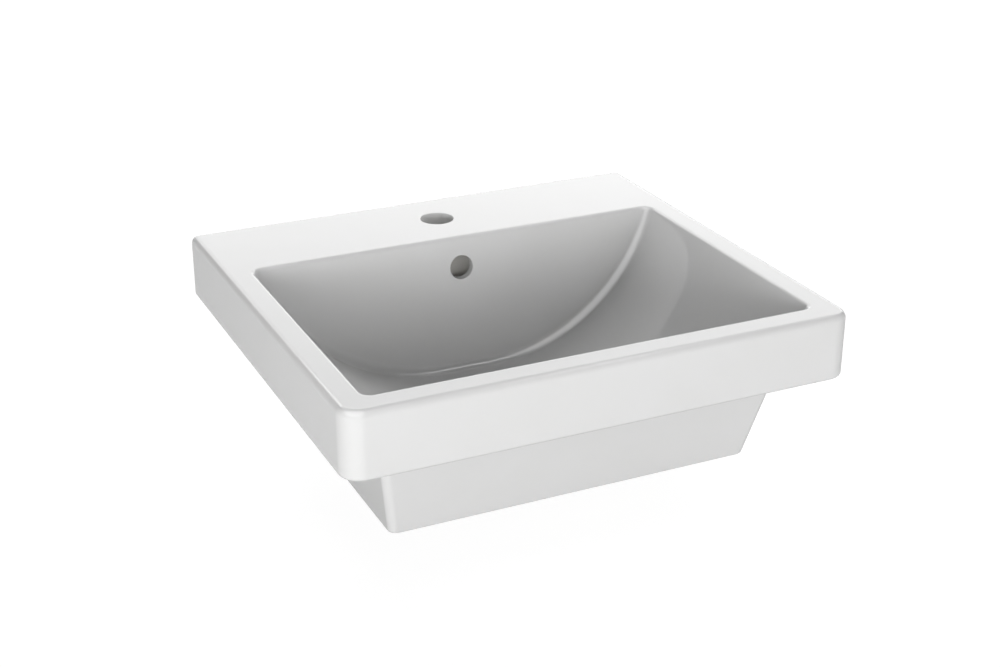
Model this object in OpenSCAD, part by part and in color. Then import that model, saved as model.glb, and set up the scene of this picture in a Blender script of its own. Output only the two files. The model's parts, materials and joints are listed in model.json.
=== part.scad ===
// Countertop basin: a glazed casting with a bow-shaped bowl, an overflow and a tap hole,
// and the push-open waste that its floor holds. Millimetres. The origin is at the middle of
// the rim's plan, on the plane of the rim's underside, which is the counter's top.

/* [Rim] */
// Overall width
basin_w = 500; // [440:5:600]
// Overall depth, front to back
basin_d = 454; // [430:2:500]
// Height of the rim above the counter
rim_h = 65; // [50:1:80]
// Radius of the two front corners, in plan
front_corner_r = 20; // [12:1:40]
// Radius of the two back corners, in plan
back_corner_r = 8; // [8:1:20]
// Radius along the rim's top edge
top_edge_r = 7.5; // [3:0.5:8]
// Radius along the rim's bottom edge
bottom_edge_r = 3.5; // [1:0.5:5]
// Thickness of the rim's outer wall
rim_wall = 12; // [8:1:14]
// Thickness of the deck
deck_t = 13; // [10:1:16]

/* [Bowl] */
// Depth of the bowl below the deck
bowl_depth = 140; // [120:1:146]
// Radius of the two arcs that draw the bowl's sides
bow_r = 210; // [190:1:225]
// Rim left at each side of the bowl
side_rim = 27.5; // [24:0.5:36]
// Rim left in front of the bowl
front_rim = 27.5; // [24:0.5:36]
// Deck left behind the bowl
rear_rim = 120.5; // [110:0.5:140]
// Lean of the bowl's rear wall from the vertical, in degrees
rear_lean = 7.5; // [4:0.5:10]
// Lean of the bowl's front wall from the vertical, in degrees
front_lean = 24; // [18:1:26]
// Radius where the bowl's walls meet
blend_r = 10; // [6:1:14]
// Radius where the deck rolls over into the bowl
lip_r = 4.5; // [3:0.5:7]
// Fall of the floor towards the waste
floor_fall = 1; // [0.5:0.25:2]
// Thickness of the bowl's walls
bowl_wall = 11; // [8:0.5:12]

/* [Lower body] */
// Ceramic left under the passage, down to the body's foot
foot_skin = 5.5; // [4:0.5:12]
// Set-back of the body's front at the rim
front_inset = 43; // [40:1:48]
// Set-back of the body's front at its foot
front_inset_foot = 69.5; // [60:0.5:76]
// Set-back of the body's sides at the rim
side_inset = 46.5; // [42:0.5:52]
// Set-back of the body's sides at its foot
side_inset_foot = 64.5; // [58:0.5:72]
// Radius of the body's upright corners
body_corner_r = 8; // [5:1:14]
// Thickness of the body's walls
body_wall = 10; // [8:0.5:12]
// Softened edge round the foot
foot_edge = 1.8; // [0.5:0.1:3]

/* [Tap hole] */
// Diameter of the tap hole
tap_d = 35; // [32:0.5:38]
// Distance from the back edge to the tap hole's centre
tap_back = 61; // [54:1:62]

/* [Overflow] */
// Diameter of the overflow hole
overflow_d = 25; // [20:1:30]
// Depth of the overflow hole's centre below the deck
overflow_drop = 32.5; // [30:0.5:50]
// Thickness of the bowl's wall at the overflow
overflow_wall = 8; // [6:0.5:10]
// Width of the overflow duct
duct_w = 44; // [36:1:50]
// Depth of the duct behind the bowl
duct_gap = 16; // [12:1:18]
// Thickness of the duct's walls
duct_wall = 7; // [6:0.5:9]
// Height of the passage under the floor
passage_h = 7.5; // [6:0.5:8]

/* [Waste] */
// Distance from the back edge to the waste's axis
waste_back = 222; // [215:1:250]
// Diameter of the hole in the casting for the waste
waste_hole_d = 46; // [44:0.5:48]
// Diameter of the waste's flange
flange_d = 64; // [60:1:70]
// Thickness of the flange
flange_t = 3.5; // [3:0.25:4]
// Thickness of the gasket under the flange
flange_gasket_t = 1.5; // [1:0.25:2]
// Ceramic left between the flange's seat and the passage
seat_skin = 6; // [5:0.5:6]
// Outer diameter of the waste's thread, G 1 1/4
thread_d = 41.91; // [41.9:0.01:42]
// Bore of the waste
waste_bore_d = 35; // [32:0.5:36]
// Thread left free below the nut for the trap
tail_free = 30; // [20:1:50]
// Width of each overflow window in the waste
window_w = 14; // [10:1:16]
// Thickness of the tapered gasket under the basin
lower_gasket_t = 7; // [4:0.5:10]
// Thickness of the slip washer
slip_washer_t = 2; // [1:0.5:3]
// Thickness of the back nut
back_nut_t = 10; // [8:0.5:14]
// Width of the back nut across its flats
back_nut_af = 56; // [52:1:60]

/* [Click cartridge] */
// Travel of the plug from shut to open
plug_travel = 8; // [6:0.5:9]
// Outer diameter of the cartridge
cartridge_d = 17; // [16:0.5:19]
// Length of the cartridge's barrel
barrel_l = 32; // [31:0.5:38]
// Thickness of the barrel's wall
barrel_wall = 1.8; // [1.4:0.1:2]
// Diameter of the plunger's rod
rod_d = 8; // [7:0.5:9]
// Diameter of the threaded stud below the barrel
stud_d = 10; // [8:0.5:10]
// Height of the spider's hub that carries the cartridge
hub_h = 8; // [6:0.5:10]
// Diameter of the spring's wire
wire_d = 0.9; // [0.7:0.1:1]
// Number of turns in the spring
spring_turns = 5.5; // [4:0.5:5.5]

/* [Plug] */
// Diameter of the plug's cap
plug_d = 62; // [58:1:64]
// Height of the dome on the cap
dome_h = 3.3; // [2:0.1:6]
// Thickness of the cap's rim
plug_rim_t = 1.1; // [0.8:0.1:2]

/* [Hidden] */
$fn = 64;
eps = 0.01;
over = 1;
ceramic_white = [0.93, 0.93, 0.92];
chrome_grey = [0.78, 0.79, 0.81];
rubber_black = [0.12, 0.12, 0.13];

// Bowl, worked out from the sizes above
bow_rise = bow_r - bowl_depth;
bowl_half = basin_w / 2 - side_rim;
bow_mid = bowl_half - sqrt(pow(bow_r, 2) - pow(bow_rise, 2));
side_slope = acos(bow_rise / bow_r);

// Waste, from the flange's seat outwards
waste_y = y_back(waste_back);
floor_z = rim_h - bowl_depth - floor_fall;
flange_under = floor_z - flange_t;
seat_z = flange_under - flange_gasket_t;
passage_top = seat_z - seat_skin;
passage_low = passage_top - passage_h;
foot_z = passage_low - foot_skin;
body_drop = -foot_z;
thread_r = thread_d / 2;
waste_bore_r = waste_bore_d / 2;
fit_gap = 0.05;
thread_gap = 0.1;
slip_gap = 0.3;
lower_gasket_low = foot_z - lower_gasket_t;
slip_washer_low = lower_gasket_low - slip_washer_t;
nut_low = slip_washer_low - back_nut_t;
tail_z = nut_low - tail_free;
tail_edge = 1;
groove_w = 2;
groove_depth = 1;
hub_wall = 3;
arm_w = 3;

// Seat of the waste: wall round its hole, play round the flange, and its softened edge
seat_wall = 15;
seat_gap = 1.5;
seat_edge = 2;
floor_flat = 4;

// Casting: walls of the body run up inside the rim to where they meet the bowl
body_tuck = 15;
back_skin = 1.5;
hollow_corner_r = 4;
duct_corner_r = 10;
duct_head = 3;

// Dish in the flange, where the plug's gasket seals
flange_land = 5;
dish_r = flange_d / 2 - flange_land;
dish_depth = 2.4;
dish_fall = dish_depth / (dish_r - waste_bore_r);

// Cartridge, from its cap down
cartridge_drop = 9;
barrel_top = floor_z - cartridge_drop;
barrel_low = barrel_top - barrel_l;
barrel_r = cartridge_d / 2;
barrel_bore_r = barrel_r - barrel_wall;
barrel_floor = 2;
cap_flange_t = 1.5;
cap_plug_t = 3.5;
rod_r = rod_d / 2;
stud_r = stud_d / 2;
locknut_t = 4;
locknut_af = 15;
stud_over = 2;
head_r = barrel_bore_r - 0.4;
head_h = 4;
head_stop = 0.5;
head_top = barrel_top - cap_plug_t - plug_travel - head_stop;
tooth_h = 2;
tooth_flank = 42;
spigot_r = 2.2;
crown_r = head_r - 1.7;
cam_r = head_r - 0.5;
cam_depth = 1.6;
cam_deg = 20;
rib_depth = 0.9;
rib_deg = 6;
rib_slot_deg = 14;
rib_turn = -14;
rotor_h = 3;
rotor_tooth_h = 1;
rotor_top = head_top - head_h - tooth_h - slip_gap;
spring_low = barrel_low + barrel_floor + thread_gap;
spring_top = rotor_top - rotor_h - slip_gap;
spring_r = (spigot_r + barrel_bore_r) / 2;

// Plug, shut
plug_lift = 1.4;
cap_under = floor_z + plug_lift;
plug_r = plug_d / 2;
gasket_w = 4.5;
core_r = dish_r - gasket_w - 1.5;
core_t = 2.4;
boss_r = 7;
boss_gap = 0.7;
boss_low = barrel_top + cap_flange_t + boss_gap;
rod_in_core = 1;
rod_top = cap_under - core_t + rod_in_core;
lip_w = 1.5;
lip_drop = 0.8;
plug_top = cap_under - lip_drop + plug_rim_t + dome_h;

// Distance from the back edge as a y coordinate
function y_back(s) = basin_d / 2 - s;
// Depth below the deck as a z coordinate
function z_deck(d) = rim_h - d;
// Bowl's rear plane at depth d, moved back by off
function rear_y(d, off = 0) = y_back(rear_rim + d * tan(rear_lean) - off / cos(rear_lean));

// Extra width at depth d where the deck rolls over at radius lip_r into a wall of this slope
function lip_out(d, slope) = d < lip_r * (1 - cos(slope))
    ? lip_r * tan(slope / 2) - lip_r * sqrt(1 - pow(1 - max(d, 0) / lip_r, 2)) + max(d, 0) / tan(slope)
    : 0;
// Bowl's half width at depth d, with its wall moved out by t
function half_x(d, t) = bow_mid + sqrt(max(0, pow(bow_r + t, 2) - pow(bow_rise + d, 2)));
// Sine of the bow's slope at depth d
function bow_sin(d, t) = min(1, (bow_rise + d) / (bow_r + t));
// Distance that an end wall of this lean stands in from its rim at depth d, its foot rounded
function end_in(d, t, lean) = let (
        ball = bowl_depth - blend_r,
        deep = ball + (blend_r + t) * sin(lean))
    d <= deep
    ? d * tan(lean) - t / cos(lean)
    : ball * tan(lean) + blend_r / cos(lean) - sqrt(max(0, pow(blend_r + t, 2) - pow(d - ball, 2)));
// Corner of the bowl at depth d: how far it reaches along the side, and along the end wall
function corner_y(d, t, lean) = let (
        ball = d - (blend_r + t) * bow_sin(d, t))
    ball * tan(lean) + blend_r / cos(lean) - end_in(d, t, lean);
function corner_x(d, t, lean) = half_x(d, t) - bow_mid - sqrt(max(0,
    pow(bow_r - blend_r, 2) - pow(bow_rise + d - (blend_r + t) * sin(lean), 2)));

// Outline of the bowl at depth d, with its walls moved out by t and n steps in each corner
function bowl_ring(d, t, n) = let (
        lip = t == 0 ? 1 : 0,
        wide = lip * lip_out(d, side_slope),
        back = lip * lip_out(d, 90 - rear_lean),
        front = lip * lip_out(d, 90 - front_lean),
        dd = max(d, 0),
        x = half_x(dd, t) + wide,
        y1 = y_back(rear_rim + end_in(dd, t, rear_lean)) + back,
        y0 = -y_back(front_rim + end_in(dd, t, front_lean)) - front,
        bx = corner_x(dd, t, rear_lean) + wide,
        by = corner_y(dd, t, rear_lean) + back,
        fx = corner_x(dd, t, front_lean) + wide,
        fy = corner_y(dd, t, front_lean) + front)
    concat(
        [for (i = [0:n]) let (a = 90 * i / n)
            [x - bx + bx * cos(a), y1 - by + by * sin(a), z_deck(d)]],
        [for (i = [0:n]) let (a = 90 + 90 * i / n)
            [-x + bx + bx * cos(a), y1 - by + by * sin(a), z_deck(d)]],
        [for (i = [0:n]) let (a = 180 + 90 * i / n)
            [-x + fx + fx * cos(a), y0 + fy + fy * sin(a), z_deck(d)]],
        [for (i = [0:n]) let (a = 270 + 90 * i / n)
            [x - fx + fx * cos(a), y0 + fy + fy * sin(a), z_deck(d)]]);

// Lowest outline of the floor, round the waste's flange, with the points of a bowl_ring
function floor_ring(n) = let (
        reach_x = max(bow_mid - floor_flat, 1),
        reach_y = flange_d / 2 + floor_flat)
    [for (p = bowl_ring(bowl_depth, 0, n))
        [reach_x * sign(p[0]), waste_y + reach_y * (p[1] > waste_y ? 1 : -1), floor_z]];

// Solid through a list of rings that hold the same number of points, from the top down
module loft(rings) {
    m = len(rings[0]);
    k = len(rings);
    polyhedron(
        points = [for (r = rings) for (p = r) p],
        faces = concat(
            [[for (j = [m - 1:-1:0]) j]],
            [for (i = [0:k - 2]) for (j = [0:m - 1]) let (a = i * m, next = (j + 1) % m)
                [a + j, a + next, a + m + next]],
            [for (i = [0:k - 2]) for (j = [0:m - 1]) let (a = i * m, next = (j + 1) % m)
                [a + j, a + m + next, a + m + j]],
            [[for (j = [0:m - 1]) (k - 1) * m + j]]),
        convexity = 4);
}

// Depths of the rings that draw the bow at even steps, from the first depth to the floor
function bow_depths(first, t, steps) = let (a0 = asin((bow_rise + first) / (bow_r + t)))
    [for (i = [0:steps]) (bow_r + t) * sin(a0 + (90 - a0) * i / steps) - bow_rise];

// Hollow of the bowl
module bowl_hollow() {
    lip_steps = [0, 0.03, 0.12, 0.27, 0.47, 0.7];
    bow_steps = 22;
    corner_steps = 7;
    loft(concat(
        [bowl_ring(-over, 0, corner_steps)],
        [for (s = lip_steps) bowl_ring(s * lip_r, 0, corner_steps)],
        [for (d = bow_depths(lip_r, 0, bow_steps)) bowl_ring(d, 0, corner_steps)],
        [floor_ring(corner_steps)]));
}

// Outside of the bowl's walls, up into the deck
module bowl_outside() {
    bow_steps = 14;
    corner_steps = 5;
    loft([for (d = bow_depths(deck_t / 2, bowl_wall, bow_steps)) bowl_ring(d, bowl_wall, corner_steps)]);
}

// Plan of a block from y0 at the front to y1 at the back
module plan(w, y0, y1, front_r, back_r) {
    translate([-w / 2, y0 + front_r]) square([w, y1 - y0 - front_r - back_r]);
    translate([-w / 2 + front_r, y0]) square([w - 2 * front_r, front_r + over]);
    translate([-w / 2 + back_r, y1 - back_r - over]) square([w - 2 * back_r, back_r + over]);
    for (s = [-1, 1]) {
        translate([s * (w / 2 - front_r), y0 + front_r]) circle(front_r);
        translate([s * (w / 2 - back_r), y1 - back_r]) circle(back_r);
    }
}

// Upright post with the rim's rounded top and bottom edges
module rim_post(r) {
    top = min(top_edge_r, r);
    low = min(bottom_edge_r, r);
    rotate_extrude($fn = 48) polygon(concat(
        [[0, 0]],
        [for (a = [-90:22.5:0]) [r - low + low * cos(a), low + low * sin(a)]],
        [for (a = [0:15:90]) [r - top + top * cos(a), rim_h - top + top * sin(a)]],
        [[0, rim_h]]));
}

module rim_block() {
    hull() for (s = [-1, 1]) {
        translate([s * (basin_w / 2 - front_corner_r), -basin_d / 2 + front_corner_r, 0])
            rim_post(front_corner_r);
        translate([s * (basin_w / 2 - back_corner_r), basin_d / 2 - back_corner_r, 0])
            rim_post(back_corner_r);
    }
}

// Space under the deck, inside the rim's outer wall
module rim_hollow() {
    in_w = basin_w - 2 * rim_wall;
    in_y = basin_d / 2 - rim_wall;
    translate([0, 0, -over]) linear_extrude(rim_h - deck_t + over)
        plan(in_w, -in_y, in_y, max(front_corner_r - rim_wall, hollow_corner_r), hollow_corner_r);
}

// Tapered body below the rim at height z, every face moved in by s
function body_half(z, s) = basin_w / 2 - side_inset + (side_inset_foot - side_inset) * z / body_drop - s;
function body_front(z, s) = -basin_d / 2 + front_inset
    - (front_inset_foot - front_inset) * z / body_drop + s;
function body_back(z, s) = rear_y(rim_h - z, bowl_wall + back_skin) - s;

module body_slice(z, s, r) {
    translate([0, 0, z]) linear_extrude(eps)
        plan(2 * body_half(z, s), body_front(z, s), body_back(z, s), r, r);
}

module body_block() {
    hull() {
        body_slice(body_tuck, 0, body_corner_r);
        body_slice(foot_z + foot_edge, 0, body_corner_r);
        body_slice(foot_z, foot_edge / 2, body_corner_r);
    }
}

module body_hollow() {
    inner_r = max(body_corner_r - body_wall / 2, 2);
    hull() {
        body_slice(body_tuck + over, body_wall, inner_r);
        body_slice(foot_z - over, body_wall, inner_r);
    }
}

// Side view of the overflow's way down behind the bowl and forward under its floor
module duct_profile(near, far, top_d, top_z, low_z) {
    low_d = rim_h - low_z;
    turn_d = rim_h - top_z;
    polygon([
        [rear_y(top_d, near), z_deck(top_d)],
        [rear_y(top_d, far), z_deck(top_d)],
        [rear_y(low_d, far), low_z],
        [waste_y, low_z],
        [waste_y, top_z],
        [rear_y(turn_d, near), top_z]]);
}

module duct_side(w) {
    translate([-w / 2, 0, 0]) rotate([90, 0, 90]) linear_extrude(w) children();
}

module duct_outside() {
    out_w = duct_w + 2 * duct_wall;
    far = overflow_wall + duct_gap + duct_wall;
    roof_z = seat_z + over;
    intersection() {
        duct_side(out_w) duct_profile(bowl_wall / 2, far, deck_t / 2, roof_z, foot_z);
        translate([0, 0, foot_z - over]) linear_extrude(rim_h + body_drop)
            plan(out_w, waste_y - over, rear_y(0, far), over, duct_corner_r);
    }
    translate([0, waste_y, foot_z]) cylinder(h = roof_z - foot_z, r = waste_hole_d / 2 + seat_wall);
}

module duct_hollow() {
    duct_side(duct_w) duct_profile(overflow_wall, overflow_wall + duct_gap, deck_t + duct_head,
        passage_top, passage_low);
}

// Glazed casting: rim, deck, bowl, tapered body, overflow duct and the waste's seat
module basin() {
    seat_r = flange_d / 2 + seat_gap;
    color(ceramic_white) difference() {
        union() {
            difference() {
                rim_block();
                rim_hollow();
            }
            difference() {
                body_block();
                body_hollow();
            }
            bowl_outside();
            duct_outside();
        }
        bowl_hollow();
        duct_hollow();
        translate([0, y_back(tap_back), rim_h - deck_t - over]) cylinder(h = deck_t + 2 * over, d = tap_d);
        translate([0, rear_y(overflow_drop, overflow_wall + duct_gap / 2), z_deck(overflow_drop)])
            rotate([90, 0, 0]) cylinder(h = overflow_wall + duct_gap, d = overflow_d);
        translate([0, waste_y, foot_z - over])
            cylinder(h = seat_z - foot_z + 2 * over, d = waste_hole_d);
        translate([0, waste_y, seat_z]) cylinder(h = plug_top + plug_travel - seat_z, r = seat_r);
        translate([0, waste_y, floor_z - seat_edge])
            cylinder(h = 2 * seat_edge, r1 = seat_r, r2 = seat_r + 2 * seat_edge);
    }
}

// Ring about the waste's axis
module waste_ring(z, h, r_in, r_out) {
    translate([0, waste_y, z]) difference() {
        cylinder(h = h, r = r_out);
        translate([0, 0, -over]) cylinder(h = h + 2 * over, r = r_in);
    }
}

module flange_gasket() {
    margin = 0.5;
    color(rubber_black)
        waste_ring(seat_z, flange_gasket_t, waste_hole_d / 2 + margin, flange_d / 2 - margin);
}

// Chromed waste: flange with a dish, threaded tube with overflow windows, and a spider inside.
// A groove parts the nut's thread from the trap's.
module waste_body() {
    flange_r = flange_d / 2;
    tube_l = floor_z - tail_z;
    groove_z = nut_low - floor_z;
    color(chrome_grey) translate([0, waste_y, floor_z]) difference() {
        union() {
            rotate_extrude() polygon([
                [waste_bore_r, -dish_depth], [dish_r, 0], [flange_r - tail_edge, 0],
                [flange_r, -tail_edge], [flange_r, -flange_t], [thread_r, -flange_t],
                [thread_r, groove_z], [thread_r - groove_depth, groove_z],
                [thread_r - groove_depth, groove_z - groove_w], [thread_r, groove_z - groove_w],
                [thread_r, -tube_l + tail_edge], [thread_r - tail_edge, -tube_l], [waste_bore_r, -tube_l]]);
            translate([0, 0, barrel_low - hub_h - floor_z]) {
                cylinder(h = hub_h, r = stud_r + hub_wall);
                for (a = [90, 210, 330]) rotate(a)
                    translate([0, -arm_w / 2, 0]) cube([waste_bore_r + over, arm_w, hub_h]);
            }
        }
        for (a = [0, 90]) rotate(a) translate([-window_w / 2, -thread_r - over, passage_low - floor_z])
            cube([window_w, 2 * thread_r + 2 * over, passage_h]);
        translate([0, 0, barrel_low - hub_h - over - floor_z])
            cylinder(h = hub_h + 2 * over, r = stud_r + fit_gap);
    }
}

module lower_gasket() {
    low_margin = 3;
    top_margin = 7;
    color(rubber_black) translate([0, waste_y, lower_gasket_low]) difference() {
        cylinder(h = lower_gasket_t, r1 = waste_hole_d / 2 + low_margin, r2 = waste_hole_d / 2 + top_margin);
        translate([0, 0, -over]) cylinder(h = lower_gasket_t + 2 * over, r = thread_r + 2 * thread_gap);
    }
}

module slip_washer() {
    margin = 6;
    color([0.9, 0.9, 0.88])
        waste_ring(slip_washer_low, slip_washer_t, thread_r + 2 * thread_gap, waste_hole_d / 2 + margin);
}

// Hexagon nut on the z axis with its corners turned off
module hex_nut(af, t, bore_r, chamfer) {
    corner_r = af / sqrt(3);
    rise = chamfer * tan(30);
    difference() {
        intersection() {
            cylinder(h = t, r = corner_r, $fn = 6);
            rotate_extrude() polygon([[0, 0], [corner_r - chamfer, 0], [corner_r, rise],
                [corner_r, t - rise], [corner_r - chamfer, t], [0, t]]);
        }
        translate([0, 0, -over]) cylinder(h = t + 2 * over, r = bore_r);
    }
}

module back_nut() {
    color("darkgoldenrod") translate([0, waste_y, nut_low])
        hex_nut(back_nut_af, back_nut_t, thread_r + thread_gap, 3);
}

// Barrel of the click mechanism, with guide ribs inside and a stud below
module cartridge_body() {
    rib_r = head_r - rib_depth;
    rib_w = barrel_bore_r + barrel_wall / 2 - rib_r;
    color("gainsboro") translate([0, waste_y, 0]) {
        difference() {
            translate([0, 0, barrel_low]) cylinder(h = barrel_l, r = barrel_r);
            translate([0, 0, barrel_low + barrel_floor]) cylinder(h = barrel_l, r = barrel_bore_r);
        }
        for (k = [0:3]) rotate(90 * k + rib_turn - rib_deg / 2)
            translate([0, 0, head_top - head_h - tooth_h]) rotate_extrude(angle = rib_deg)
                translate([rib_r, 0]) square([rib_w, head_h + tooth_h + plug_travel]);
        translate([0, 0, barrel_low - hub_h - locknut_t - stud_over])
            cylinder(h = hub_h + locknut_t + stud_over + eps, r = stud_r);
    }
}

module cartridge_locknut() {
    color("goldenrod") translate([0, waste_y, barrel_low - hub_h - locknut_t])
        hex_nut(locknut_af, locknut_t, stud_r + fit_gap, 0.8);
}

// Points round one cross-section of the spring's wire, at turn t
function wire_ring(t, sides) = let (
        a = 360 * t,
        z = spring_low + wire_d / 2 + (spring_top - spring_low - wire_d) * t / spring_turns)
    [for (i = [0:sides - 1]) let (b = 360 * i / sides)
        [(spring_r + wire_d / 2 * cos(b)) * cos(a), (spring_r + wire_d / 2 * cos(b)) * sin(a),
            z + wire_d / 2 * sin(b)]];

module cartridge_spring() {
    per_turn = 16;
    color("silver") translate([0, waste_y, 0])
        loft([for (i = [spring_turns * per_turn:-1:0]) wire_ring(i / per_turn, 6)]);
}

// Ring of pointed teeth on the z axis
module crown(count, r_in, r_out, h) {
    half = h * tan(tooth_flank);
    difference() {
        cylinder(h = h, r = r_out);
        translate([0, 0, -over]) cylinder(h = h + 2 * over, r = r_in);
        for (k = [0:count - 1]) rotate(360 * k / count) rotate([90, 0, 90])
            linear_extrude(r_out + over) polygon([[-half, h + eps], [0, 0], [half, h + eps]]);
    }
}

// Indexing rotor: four cams that turn an eighth of a turn on each press
module cartridge_rotor() {
    ring_h = rotor_h - rotor_tooth_h;
    color("dimgray") translate([0, waste_y, rotor_top - rotor_h]) {
        difference() {
            cylinder(h = ring_h, r = crown_r);
            translate([0, 0, -over]) cylinder(h = rotor_h + 2 * over, r = spigot_r + slip_gap);
        }
        translate([0, 0, ring_h - eps]) crown(8, spigot_r + slip_gap, crown_r, rotor_tooth_h);
        for (k = [0:3]) rotate(90 * k - cam_deg / 2) rotate_extrude(angle = cam_deg)
            translate([cam_r - cam_depth, 0]) square([cam_depth, ring_h]);
    }
}

// Plunger: rod, keyed head with saw teeth below, and the spigot that the rotor turns on
module cartridge_plunger() {
    head_low = head_top - head_h;
    slot_depth = rib_depth + slip_gap;
    color("whitesmoke") translate([0, waste_y, 0]) {
        translate([0, 0, head_top - eps]) cylinder(h = rod_top - head_top + eps, r = rod_r);
        difference() {
            translate([0, 0, head_low]) cylinder(h = head_h, r = head_r);
            for (k = [0:3]) rotate(90 * k + rib_turn - rib_slot_deg / 2)
                translate([0, 0, head_low - over]) rotate_extrude(angle = rib_slot_deg)
                    translate([head_r - slot_depth, 0]) square([slot_depth + over, head_h + 2 * over]);
        }
        translate([0, 0, head_low + eps]) mirror([0, 0, 1]) crown(8, spigot_r, crown_r, tooth_h);
        translate([0, 0, rotor_top - rotor_h])
            cylinder(h = head_low - rotor_top + rotor_h + eps, r = spigot_r);
    }
}

module cartridge_cap() {
    color("gainsboro") {
        waste_ring(barrel_top, cap_flange_t, rod_r + slip_gap, barrel_r);
        waste_ring(barrel_top - cap_plug_t, cap_plug_t + eps, rod_r + slip_gap, barrel_bore_r - thread_gap);
    }
}

// Moulded core that joins the cap to the plunger's thread
module plug_core() {
    color("gray") translate([0, waste_y, 0]) difference() {
        union() {
            translate([0, 0, cap_under - core_t]) cylinder(h = core_t, r = core_r);
            translate([0, 0, boss_low]) cylinder(h = cap_under - boss_low, r = boss_r);
        }
        translate([0, 0, boss_low - over])
            cylinder(h = rod_top + slip_gap - boss_low + over, r = rod_r + fit_gap);
    }
}

// Domed chrome cap, its rim turned down over the core
module plug_cap() {
    dome_r = (pow(plug_r, 2) + pow(dome_h, 2)) / (2 * dome_h);
    rim_z = cap_under - lip_drop;
    arc = asin(plug_r / dome_r);
    color(chrome_grey) translate([0, waste_y, 0]) rotate_extrude() polygon(concat(
        [[0, cap_under], [plug_r - lip_w, cap_under], [plug_r - lip_w, rim_z], [plug_r, rim_z]],
        [for (i = [0:6]) let (a = arc * (1 - i / 6))
            [dome_r * sin(a), rim_z + plug_rim_t + dome_h - dome_r * (1 - cos(a))]]));
}

module plug_gasket() {
    in_r = core_r + thread_gap;
    out_r = core_r + gasket_w;
    color(rubber_black) translate([0, waste_y, 0]) rotate_extrude() polygon([
        [in_r, floor_z + slip_gap - (dish_r - in_r) * dish_fall],
        [out_r, floor_z + slip_gap - (dish_r - out_r) * dish_fall],
        [out_r, cap_under], [in_r, cap_under]]);
}

basin();
flange_gasket();
waste_body();
lower_gasket();
slip_washer();
back_nut();
cartridge_body();
cartridge_locknut();
cartridge_spring();
cartridge_rotor();
cartridge_plunger();
cartridge_cap();
plug_core();
plug_cap();
plug_gasket();
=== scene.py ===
# Countertop basin: a glazed casting with its chromed push-open waste, seals and nut, on a pale floor.
# Lengths in the dictionaries are millimetres, in the frame's axes; mm turns them into metres.
import json
import math

import bmesh
import bpy
from mathutils import Matrix, Vector


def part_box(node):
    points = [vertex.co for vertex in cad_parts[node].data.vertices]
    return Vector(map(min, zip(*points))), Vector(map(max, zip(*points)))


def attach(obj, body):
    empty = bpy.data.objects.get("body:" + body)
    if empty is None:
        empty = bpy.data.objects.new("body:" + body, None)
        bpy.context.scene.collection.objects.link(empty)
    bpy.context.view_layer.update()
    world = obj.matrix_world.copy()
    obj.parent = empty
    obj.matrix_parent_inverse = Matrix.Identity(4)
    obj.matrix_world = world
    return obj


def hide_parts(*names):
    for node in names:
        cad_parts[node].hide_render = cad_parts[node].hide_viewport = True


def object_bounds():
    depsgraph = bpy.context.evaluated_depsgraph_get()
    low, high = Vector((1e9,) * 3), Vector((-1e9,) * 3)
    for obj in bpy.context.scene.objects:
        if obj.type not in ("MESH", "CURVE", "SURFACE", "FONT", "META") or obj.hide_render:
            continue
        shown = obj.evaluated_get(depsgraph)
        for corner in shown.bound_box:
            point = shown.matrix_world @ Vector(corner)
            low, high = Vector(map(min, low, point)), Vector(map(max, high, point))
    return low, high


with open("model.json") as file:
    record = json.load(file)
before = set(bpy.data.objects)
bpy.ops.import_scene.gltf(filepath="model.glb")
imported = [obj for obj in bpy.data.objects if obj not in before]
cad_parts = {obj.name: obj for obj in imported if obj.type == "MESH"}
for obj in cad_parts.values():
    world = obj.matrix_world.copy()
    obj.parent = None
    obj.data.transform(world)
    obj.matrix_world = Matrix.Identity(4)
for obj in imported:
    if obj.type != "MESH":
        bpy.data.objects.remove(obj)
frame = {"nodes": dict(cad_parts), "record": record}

mm = 0.001
scene = bpy.context.scene
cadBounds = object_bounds()
print("frame loaded:", len(frame["nodes"]), "nodes")


def nodeBox(node):
    low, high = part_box(node)
    return [c / mm for c in low], [c / mm for c in high]


def sind(a):
    return math.sin(math.radians(a))


def cosd(a):
    return math.cos(math.radians(a))


def tand(a):
    return math.tan(math.radians(a))


# Camera at the photograph's viewing angle

view = {
    "place": (-0.652435, -1.378660, 0.678962),
    "yaw": 25.185,
    "pitch": -24.023,
    "roll": 0.167,
    "lens": 60.768,
    "sensor": 36.0,
    "nearest": 0.05,
    "farthest": 30.0,
}


def makeCamera():
    data = bpy.data.cameras.new("camera")
    data.sensor_fit = "HORIZONTAL"
    data.sensor_width = view["sensor"]
    data.lens = view["lens"]
    data.clip_start = view["nearest"]
    data.clip_end = view["farthest"]
    camera = bpy.data.objects.new("camera", data)
    turn = Matrix.Rotation(math.radians(-view["yaw"]), 4, "Z")
    tilt = Matrix.Rotation(math.radians(90 + view["pitch"]), 4, "X")
    roll = Matrix.Rotation(math.radians(view["roll"]), 4, "Z")
    camera.matrix_world = Matrix.Translation(view["place"]) @ turn @ tilt @ roll
    scene.collection.objects.link(camera)
    scene.camera = camera


makeCamera()
print("camera set")


# Meshes

joining = {
    "digits": 3,          # corners that agree to this many digits are one vertex
    "weld": 0.002,
    "finalWeld": 0.004,
    "overlap": 1.0,       # how far a solid reaches past the surface that it cuts or joins
    "near": 0.1,          # how far a corner may be from where it is looked for
}
past = joining["overlap"]


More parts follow.
